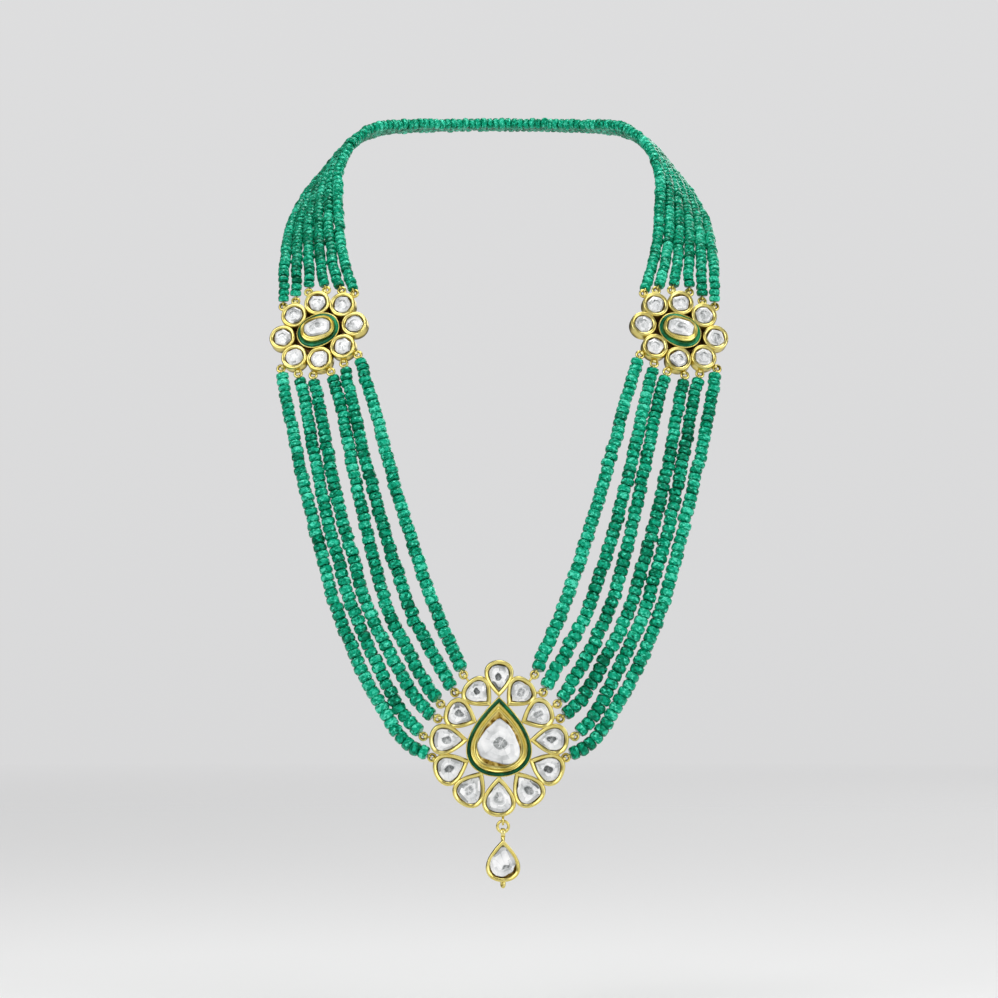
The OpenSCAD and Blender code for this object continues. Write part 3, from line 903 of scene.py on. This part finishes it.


# Stones. Tiers from the girdle to the table: share of the size, depth, tint, spread of tints, turn in
# facets, how uneven the depths of facets are, and how much darker the line between two facets is
# The tints darken towards the girdle as painted shade where the rim meets the stone
TIERS = [
    (1, 1.3, 0.46, 0, 0, 0, 0),
    (1, 0.6, 0.60, 0.10, 0, 0, 0),
    (0.95, 0.44, 0.72, 0.14, 0, 0, 0.1),
    (0.8, 0.24, 0.76, 0.12, 0.5, 0.05, 0.1),
    (0.58, 0.1, 0.86, 0.09, 0.5, 0, 0.1)]
# Tiers over this share of the size are the outer edge. The others run this straight between corners.
EDGE_SHARE = 0.9
INNER_STRAIGHT = 0.85
# How far corners stray from equal steps, as a share of a step
CORNER_STRAY = 0.3
# A cut: number of corners, how straight the outer edge runs between them, how much its facets differ, and
# how much darker they are all painted as shade (lighter where it is below zero)
Cut = namedtuple("Cut", "corners straight contrast shade")
ROUND_CUTS = [Cut(corners, 0.65, 1, 0.03) for corners in (6, 7, 8)]
OVAL_CUT = Cut(8, 0.6, 1, 0.02)
CENTRE_CUT = Cut(7, 0.3, 0.5, -0.04)
PETAL_CUT = Cut(7, 0.3, 1, 0)
DROP_CUT = Cut(6, 0.3, 1, 0)
# A window: place from the stone's middle, half size, tint, stretch and its bearing, and how far one side
# fades out
Window = namedtuple("Window", "x z size tint stretch bearing fade")
ROUND_WINDOW = Window(-0.1, 0.8, 1.55, 0.34, 1.35, 20, 0.95)
OVAL_WINDOW = Window(-1.3, 0.6, 1.6, 0.36, 1.5, 75, 0.6)
CENTRE_WINDOW = Window(0.2, 0.3, 2.45, 0.38, 1.0, 0, 0.2)
DROP_WINDOW = Window(0.9, -1.7, 1.1, 0.30, 1.2, 60, 0.3)
# Windows of the pendant's petals, clockwise from the top one: half size, tint
PETAL_WINDOWS = [
    (1.15, 0.05), (1.3, 0.46), (1.3, 0.44), (1.3, 0.14), (1.35, 0.06), (1.45, 0.36), (1.9, 0.56),
    (1.4, 0.48), (1.35, 0.30), (1.45, 0.22), (1.3, 0.26), (1.05, 0.04)]
WINDOW_STRAY = 0.2
PETAL_STRETCH = 1.3
PETAL_FADE = 0.25
# A window's outlines from its surround inwards, as shares of its size. They lean, are a little flat, and
# keep inside the table.
WINDOW_SHARES = (1.25, 1.0, 0.92, 0.55, 0.25)
WINDOW_FLAT = 0.92
TABLE_LIMIT = 0.84
LIMIT_GROWTH = 0.1
WINDOW_UNEVEN = 0.15
WINDOW_LEAN = 1.5
# Where a window is darkest, its painted shadow side, in degrees, how far that strays, in radians, and how
# mottled it is
DARK_BEARING = 100
DARK_STRAY = 0.5
MOTTLE = 0.07
# Tints of the table, of where a window has faded out, and of the surround that it blends to
TABLE_TINT = 0.76
FADED_TINT = 0.8
SURROUND_TINT = 0.7
# How much lighter and more mottled a window is inside, and how much lighter in its middle
INSIDE_LIGHTER = 0.06
INSIDE_MOTTLE = 1.5
MIDDLE_LIGHTER = 0.16
MIDDLE_FADE = 0.3
# The gap between a stone and its setting, and how uneven stones are
STONE_GAP = 0.03
OVAL_STONE_GAP = 0.05
ROUND_UNEVEN = 0.18
OVAL_UNEVEN = 0.15
PEAR_UNEVEN = 0.2
# Corners of the pendant's centre stone, and of the drop's stone from a point below its tip
CENTRE_STONE = [
    (-0.9, 8.0), (0.9, 8.1), (4.8, 4.0), (7.6, -0.9), (8.4, -3.8), (7.8, -6.8), (5.4, -9.1), (2.3, -9.5),
    (-3.4, -8.3), (-7.2, -6.8), (-8.5, -3.2), (-7.7, 0.0), (-4.9, 3.8)]
DROP_STONE = [
    (0.1, 6.0), (3.2, 3.7), (5.2, 0.7), (4.8, -2.0), (3.1, -4.4), (0.2, -6.3), (-3.6, -4.9), (-5.3, -1.6),
    (-4.2, 2.0)]
STONE_BELOW_TIP = 8.2
CORNER_STEPS = 8


class Facets:
    """The sectors into which a stone's corners cut it."""

    def __init__(self, corners):
        between = 2 * np.pi / corners
        stray = rng.uniform(-CORNER_STRAY, CORNER_STRAY, corners)
        self.starts = between * (np.arange(corners) + stray) + rng.uniform(0, between)
        self.spans = np.diff(np.r_[self.starts, self.starts[0] + 2 * np.pi])

    def which(self, turn):
        """The sector at each step and how far in, for sectors turned by a share of their width."""
        late = (angles(STEPS)[:, None] - (self.starts + turn * self.spans)) % (2 * np.pi)
        return late.argmin(1), late.min(1)

    def chord(self):
        """How far out a straight edge from corner to corner lies at each step."""
        k, late = self.which(0)
        return np.cos(self.spans[k] / 2) / np.cos(late - self.spans[k] / 2)


def stone(name, body, replaced, edge, front, place, cut, window, mirrored=False):
    """A flat-cut stone: facets from corner to corner, a table in wedges, and a dark window."""
    facets = Facets(cut.corners)
    centre, chord = edge.mean(0), facets.chord()
    rings, tints = [], []
    for share, depth, tint, spread, turn, rough, line in TIERS:
        k, _ = facets.which(turn)
        straight = cut.straight if share > EDGE_SHARE else INNER_STRAIGHT
        uneven = rng.normal(0, rough, cut.corners)[k]
        outline = centre + (edge - centre) * (share * (1 + straight * (chord - 1)))[:, None]
        rings.append(place(at_depth(outline, front + depth + uneven)))
        own = rng.normal(0, 1, cut.corners)[k] * spread - line * (k != np.roll(k, -1))
        tints.append(tint + own * cut.contrast - cut.shade)
    for inner in window_outlines(outline - centre, window):
        rings.append(place(at_depth(centre + inner, front + TIERS[-1][1])))
    tints += window_tints(window, cut.shade)
    form = Form(mirrored)
    form.add(*skin(rings), tints=np.clip(np.concatenate(tints), 0, 1))
    form.piece(name, [POLKI], body, "stones", [replaced])


def window_outlines(table, window):
    """Outlines of the small window in the middle of a stone's table, from its surround inwards."""
    t = angles(STEPS)
    lean = rng.uniform(0, WINDOW_LEAN)
    square = 1 / (np.abs(np.cos(t + lean)) ** 3 + np.abs(np.sin(t + lean)) ** 3) ** (1 / 3)
    square = square * (1 + wobble(WINDOW_UNEVEN, (2, 3)))
    square = square * (1 + (window.stretch - 1) * np.cos(t - math.radians(90 - window.bearing)) ** 2)
    outlines = []
    for share in WINDOW_SHARES:
        reach = share * window.size * square
        p = np.stack([window.x + reach * np.cos(t), window.z + reach * np.sin(t) * WINDOW_FLAT], 1)
        limit = (TABLE_LIMIT + LIMIT_GROWTH * share) * reach_at(table, bearings(p))
        outlines.append(p * np.minimum(1, limit / np.hypot(*p.T))[:, None])
    return outlines


def window_tints(window, shade):
    """Tints of a stone's faces from its table inwards, then of its back and the window's middle."""
    stray = rng.normal(0, DARK_STRAY)
    # A painted shadow darkens the window towards one side
    dark_side = 0.5 - 0.5 * np.cos(angles(STEPS) - math.radians(DARK_BEARING) - stray)
    mottle = np.repeat(rng.normal(0, MOTTLE, STEPS // 3), 3)
    around = window.tint + window.fade * (FADED_TINT - window.tint) * dark_side + mottle
    inner = around + INSIDE_LIGHTER - np.roll(mottle, STEPS // 4) * INSIDE_MOTTLE
    middle = window.tint + MIDDLE_LIGHTER + MIDDLE_FADE * window.fade
    return [TABLE_TINT - shade + mottle, (around + SURROUND_TINT) / 2, around, inner, [PLAIN_TINT, middle]]


def evenly(line, middle):
    """An outline with its points in equal steps of bearing from a middle."""
    t = angles(STEPS)
    return middle + reach_at(line - middle, t)[:, None] * np.stack([np.cos(t), np.sin(t)], 1)


def through(corners):
    """A smooth closed outline through a stone's corners."""
    p = np.array(corners, float)
    line = spline(np.vstack([p[-1:], p, p[:2]]), CORNER_STEPS)
    return evenly(line, line.mean(0))


def wavy(edge, size):
    """An outline made uneven, without leaving its own reach."""
    rough = wobble(size)
    middle = edge.mean(0)
    d = edge - middle
    return middle + d * (1 + (rough - rough.max()) / np.linalg.norm(d, axis=1))[:, None]


# Wire eyes, a little smaller and of thicker wire than in CAD, and painted dark inside as shade
EYE_SHRINK = 0.05
EYE_THICKER = 0.28
EYE_INSIDE = -0.2
EYE_INSIDE_SHADE = 0.08
FACE_BEARINGS = angles(RING_SIDES) + np.pi / RING_SIDES
EYE_TINTS = np.tile(np.where(np.cos(FACE_BEARINGS) < EYE_INSIDE, EYE_INSIDE_SHADE, PLAIN_TINT), RING_STEPS)
# The ball of solder: its radius, how far it sits from the eye's middle, its depth, and its tint, a painted
# highlight
BALL_R = 0.8
BALL_BACK = 0.8
BALL_DEPTH = -0.5
SOLDER_HIGHLIGHT_TINT = 0.65
# The stem under the solder: how far it starts inside the eye's wire, its length on a medallion, and how far
# it goes into the pendant's petals
STEM_W = 0.9
STEM_START = 0.15
STEM_L = 0.7
STEM_SINK = 0.6


def solder_eye(form, place, at, outward, stem):
    """A wire eye with its ball of solder, and its stem to a petal."""
    points, faces = torus(at_depth(at), (0, 1, 0), EYE_R - EYE_SHRINK, EYE_WIRE + EYE_THICKER)
    form.add(place(points), faces, tints=EYE_TINTS)
    form.add(*ball(place(at_depth(at - outward * BALL_BACK, BALL_DEPTH)), BALL_R), tints=SOLDER_HIGHLIGHT_TINT)
    root = at - outward * (EYE_R - STEM_START)
    form.add(*rod(place(at_depth(root)), place(at_depth(root - outward * stem)), STEM_W))


# Medallions: rows of the plate, and how square the raised centre is (2 is an oval) and how it turns, from
# outside to inside, where it stands to one side
PLATE_ROWS = [(0.2, -0.1, 0), (0, -0.3, 0), (0, -1.1, 0), (0.2, -1.2, 0)]
CENTRE_SQUARE = (2.1, 2.6)
CENTRE_TURNS = (OVAL_TURN, 14)
CENTRE_SHIFT = (-0.3, 1.0)
OVAL_BEZEL_IN = (OVAL[1] - OVAL_BEZEL[1]) / 2


def oval_centre(inset=0.0):
    """The outline of a medallion's raised centre."""
    t = angles(STEPS)
    share = np.clip(inset / (OVAL_BEZEL_IN + OVAL_WALL_W), 0, 1)
    power = 2 / mix(CENTRE_SQUARE, share)
    x = (OVAL[0] / 2 - inset) * np.sign(np.cos(t)) * np.abs(np.cos(t)) ** power
    z = (OVAL[1] / 2 - inset) * np.sign(np.sin(t)) * np.abs(np.sin(t)) ** power
    return turned(x, z, mix(CENTRE_TURNS, share)) + share[..., None] ** 2 * CENTRE_SHIFT


def round_petal(k):
    return oval(PETAL_D, PETAL_D, 0, PETALS[k])


def medallion_setting(side, mirrored):
    form = Form(mirrored)
    plate = rings_of(oval(*PETAL_OVAL, OVAL_TURN), rows_from(PETAL_BACK, PLATE_ROWS), on_medallion)
    form.add(*skin(plate), RECESS_SHADE_PAINT)
    for k in range(PETAL_COUNT):
        setting(form, round_petal(k), wall_profile(PETAL_FRONT, PETAL_BACK, ROUND_WALL), on_medallion)
    setting(form, oval_centre, centre_profile(OVAL_BEZEL_IN, OVAL_WALL_W, OVAL_RELIEF), on_medallion)
    for petal, bearing in TOP_EYES + LOW_EYES:
        at = eye_place(petal, bearing)
        solder_eye(form, on_medallion, at, unit(at - PETALS[petal]), STEM_L)
    form.piece(f"medallion_setting_{side}", [GOLD, SEAM_SHADE, RECESS_SHADE], "necklace", "gold",
               [f"medallion_frame_{side}"])


def medallion(side):
    mirrored = side == "right"
    medallion_setting(side, mirrored)
    enamel_ring(f"medallion_enamel_ring_{side}", oval_centre, OVAL_BEZEL_IN, on_medallion,
                f"medallion_enamel_{side}", OVAL_ENAMEL_TINT, mirrored)
    edge = wavy(oval_centre(OVAL_BEZEL_IN + OVAL_WALL_W + OVAL_STONE_GAP), OVAL_UNEVEN)
    stone(f"medallion_centre_polki_{side}", "necklace", f"medallion_centre_stone_{side}",
          edge, CENTRE_FRONT, on_medallion, OVAL_CUT, OVAL_WINDOW, mirrored)
    for k in range(PETAL_COUNT):
        edge = wavy(round_petal(k)(ROUND_WALL.width + STONE_GAP), ROUND_UNEVEN)
        stone(f"medallion_petal_polki_{side}_{k + 1}", "necklace", f"medallion_petal_stone_{side}_{k + 1}",
              edge, PETAL_FRONT, on_medallion, ROUND_CUTS[k % 3], ROUND_WINDOW, mirrored)


# The eye that carries the drop stands on a post
POST_L = 1.4
POST_W = 1.2


def pear_petals():
    """The twelve petals clockwise from the top, as outlines."""
    rows = PEAR_PETALS + [(-x, z, -bearing, w, l) for x, z, bearing, w, l in PEAR_PETALS[-2:0:-1]]
    return [pear(w, l, (x, z), bearing) for x, z, bearing, w, l in rows]


def pendant_eyes(form):
    """The eyes for the strands, each away from the round part of its petal."""
    for side in (1, -1):
        for x, z, petal in PENDANT_EYES:
            tip_x, tip_z, bearing, width, length = PEAR_PETALS[petal]
            heart = np.array([tip_x, tip_z]) + (length - width / 2) * np.array([sin(bearing), cos(bearing)])
            d = np.array([x, z]) - heart
            gap = np.linalg.norm(d) - width / 2 - EYE_R
            outward = unit(d) * [side, 1]
            solder_eye(form, on_pendant, np.array([side * x, z]), outward, max(gap, 0) + STEM_SINK)


def pendant_setting(petals, centre, bezel):
    form = Form()
    for outline in petals:
        setting(form, outline, wall_profile(PETAL_FRONT, PETAL_BACK, PETAL_WALL), on_pendant)
    setting(form, centre, centre_profile(bezel, CENTRE_WALL_W), on_pendant)
    pendant_eyes(form)
    form.add(*torus(on_drop([0, 0, DROP_EYE_Z]), (1, 0, 0), DROP_EYE_R, DROP_EYE_WIRE))
    top = DROP_EYE_Z + DROP_EYE_R
    form.add(*rod(on_drop([0, 0, top]), on_drop([0, 0, top + POST_L]), POST_W))
    form.piece("pendant_setting", [GOLD, SEAM_SHADE], "necklace", "gold", ["pendant_frame"])


def pendant():
    petals = pear_petals()
    centre = pear(*PEAR, (0, PEAR[1] / 2 + PEAR_RAISE), 180)
    bezel = RIM_W + ENAMEL_W
    pendant_setting(petals, centre, bezel)
    enamel_ring("pendant_enamel_ring", centre, bezel, on_pendant, "pendant_enamel", PEAR_ENAMEL_TINT)
    edge = wavy(through(CENTRE_STONE), PEAR_UNEVEN)
    stone("pendant_centre_polki", "necklace", "pendant_centre_stone",
          edge, CENTRE_FRONT, on_pendant, CENTRE_CUT, CENTRE_WINDOW)
    for k, (outline, (size, tint)) in enumerate(zip(petals, PETAL_WINDOWS)):
        bearing = math.degrees(math.atan2(*outline().mean(0)))
        window = Window(*rng.normal(0, WINDOW_STRAY, 2), size, tint, PETAL_STRETCH, bearing, PETAL_FADE)
        edge = outline(PETAL_WALL.width + STONE_GAP)
        edge = wavy(evenly(edge, (edge.min(0) + edge.max(0)) / 2), PEAR_UNEVEN)
        stone(f"pendant_petal_polki_{k + 1}", "necklace", f"pendant_petal_stone_{k + 1}",
              edge, PETAL_FRONT, on_pendant, PETAL_CUT, window)


# The jump ring, and the drop's bail, its neck above the stone, and its foot eye
JUMP_STEPS = 48
JUMP_SIDES = 16
BAIL_ROUND = 0.12
BAIL_ROUND_IN = 0.1
NECK_ABOVE_TIP = 1.1
NECK_BELOW_TIP = 1.6
NECK_W = 1.5
FOOT_WIRE = 1.2
FOOT_TURN = 25


def jump_ring():
    form = Form()
    form.add(*torus(on_drop([0, 0, RING_Z]), (0, 1, 0), RING_R, RING_WIRE, JUMP_STEPS, JUMP_SIDES))
    form.piece("drop_jump_ring", [GOLD], "ring", "gold", ["jump_ring"])


def bail():
    """The band round the jump ring, with rounded edges."""
    inside, outside, edge = BAIL_IN_R, BAIL_IN_R + BAIL_WALL, BAIL_W / 2
    half = [(inside, edge - BAIL_ROUND_IN), (inside + BAIL_ROUND, edge), (outside - BAIL_ROUND, edge),
            (outside, edge - BAIL_ROUND)]
    section = half + [(r, -across) for r, across in half[::-1]]
    rings = [[(across, r * math.cos(a), BAIL_Z + r * math.sin(a)) for r, across in section]
             for a in angles(RING_STEPS)]
    return skin(on_drop(rings), closed=True)


def drop():
    """The pear-shaped drop with its bail and foot eye, and its stone."""
    form = Form()
    form.add(*bail())
    top, foot = DROP_TIP_Z + NECK_ABOVE_TIP, DROP_TIP_Z - NECK_BELOW_TIP
    form.add(*rod(on_drop([0, 0, top]), on_drop([0, 0, foot]), NECK_W))
    outline = pear(*DROP, (0, DROP_TIP_Z), 180)
    setting(form, outline, wall_profile(DROP_FRONT, DROP_BACK, PETAL_WALL), on_drop)
    axis = (cos(FOOT_TURN), sin(FOOT_TURN), 0)
    form.add(*torus(on_drop([0, 0, FOOT_Z]), axis, FOOT_R, FOOT_WIRE))
    form.piece("drop_setting", [GOLD, SEAM_SHADE], "drop", "gold", ["drop_frame"])
    corners = [(x, z + DROP_TIP_Z - STONE_BELOW_TIP) for x, z in DROP_STONE]
    stone("drop_polki", "drop", "drop_stone", wavy(through(corners), PEAR_UNEVEN),
          DROP_FRONT, on_drop, DROP_CUT, DROP_WINDOW)


# Floor, light and camera, in metres
FLOOR_Z = -0.34
FLOOR_R = 3.0
FLOOR_SIDES = 96
FLOOR_GLOW = 0.30
ROOM_LIGHT = 0.17
AIM = Vector((0, -0.060, -0.14759))
LENS = 250
SENSOR = 36
VIEW_WIDTH = 0.37924
CLIP = (0.1, 60)
LIGHT_AIM = Vector((0, -0.06, -0.15))
# Soft boxes: name, place, width and height, radiance
LIGHTS = [
    ("key", (-1.1, -1.2, 0.7), (1.2, 1.2), 3.2),
    ("fill", (1.3, -1.1, 0.3), (1.0, 1.4), 2.9),
    ("top", (0.1, 0.0, 1.3), (1.2, 0.8), 4.4),
    ("front", (0.1, -3.3, 0.3), (3.2, 2.4), 0.60),
    ("back", (0.9, 1.7, 0.5), (1.4, 1.2), 1.7)]


def floor():
    """A pale floor that fades out into the backdrop."""
    mesh = bpy.data.meshes.new("floor")
    ring = [(FLOOR_R * math.cos(a), FLOOR_R * math.sin(a), FLOOR_Z) for a in angles(FLOOR_SIDES)]
    mesh.from_pydata(ring, [], [list(range(FLOOR_SIDES))])
    s = surface("floor")
    reach = s.add("VectorMath", {0: s.place("Object")})
    reach.operation = "LENGTH"
    share = s.maths("DIVIDE", reach.outputs["Value"], FLOOR_R)
    mesh.materials.append(s.finished({
        "Base Color": (0.60, 0.60, 0.60, 1),
        "Roughness": 0.9,
        "Emission Color": (1, 1, 1, 1),
        "Emission Strength": FLOOR_GLOW,
        "Alpha": s.ramp(share, [(0.1, (1, 1, 1)), (0.8, (0, 0, 0))])}))
    obj = shown("floor", mesh)


def soft_box(name, place, size, radiance):
    """An area light whose power follows from its radiance and size."""
    light = bpy.data.lights.new(name, "AREA")
    light.shape = "RECTANGLE"
    light.size, light.size_y = size
    light.energy = radiance * math.pi * size[0] * size[1]
    obj = shown(name, light)
    obj.location = place
    obj.rotation_mode = "QUATERNION"
    obj.rotation_quaternion = (LIGHT_AIM - Vector(place)).to_track_quat("-Z", "Y")
    obj.visible_camera = False


def studio():
    """The pale backdrop, and a dimmer room for what the gold and stones reflect."""
    world = bpy.data.worlds.new("studio")
    bpy.context.scene.world = world
    n = Nodes(world)
    split = n.add("SeparateXYZ", {"Vector": n.place("Generated")})
    height = n.scaled(split.outputs["Z"], 0.5, 0.5)
    seen = n.add("LightPath", {}).outputs["Is Camera Ray"]
    n.set(n.nodes["Background"], {
        "Color": n.ramp(height, [(0.42, (0.66, 0.66, 0.665)), (0.56, (0.74, 0.74, 0.745))]),
        "Strength": n.scaled(seen, 1 - ROOM_LIGHT, ROOM_LIGHT)})
    for light in LIGHTS:
        soft_box(*light)


def camera():
    data = bpy.data.cameras.new("camera")
    data.lens = LENS
    data.sensor_width = SENSOR
    data.clip_start, data.clip_end = CLIP
    obj = shown("camera", data)
    obj.location = AIM + Vector((0, -VIEW_WIDTH * LENS / SENSOR, 0))
    obj.rotation_euler = (math.pi / 2, 0, 0)
    bpy.context.scene.camera = obj


for i in STRANDS:
    strand(f"neck_beads_{i}", neck_route(i), NECK_STRETCH, STRAND_LIGHT[i - 1], f"neck_strand_{i}")
for side in SIDES:
    for i in STRANDS:
        strand(f"chest_beads_{side}_{i}", chest_route(i), CHEST_STRETCH, STRAND_LIGHT[i - 1],
               f"chest_strand_{side}_{i}", side == "right")
end_loops()
for side in SIDES:
    medallion(side)
pendant()
jump_ring()
drop()
floor()
studio()
camera()
bpy.context.scene.view_settings.view_transform = "Standard"
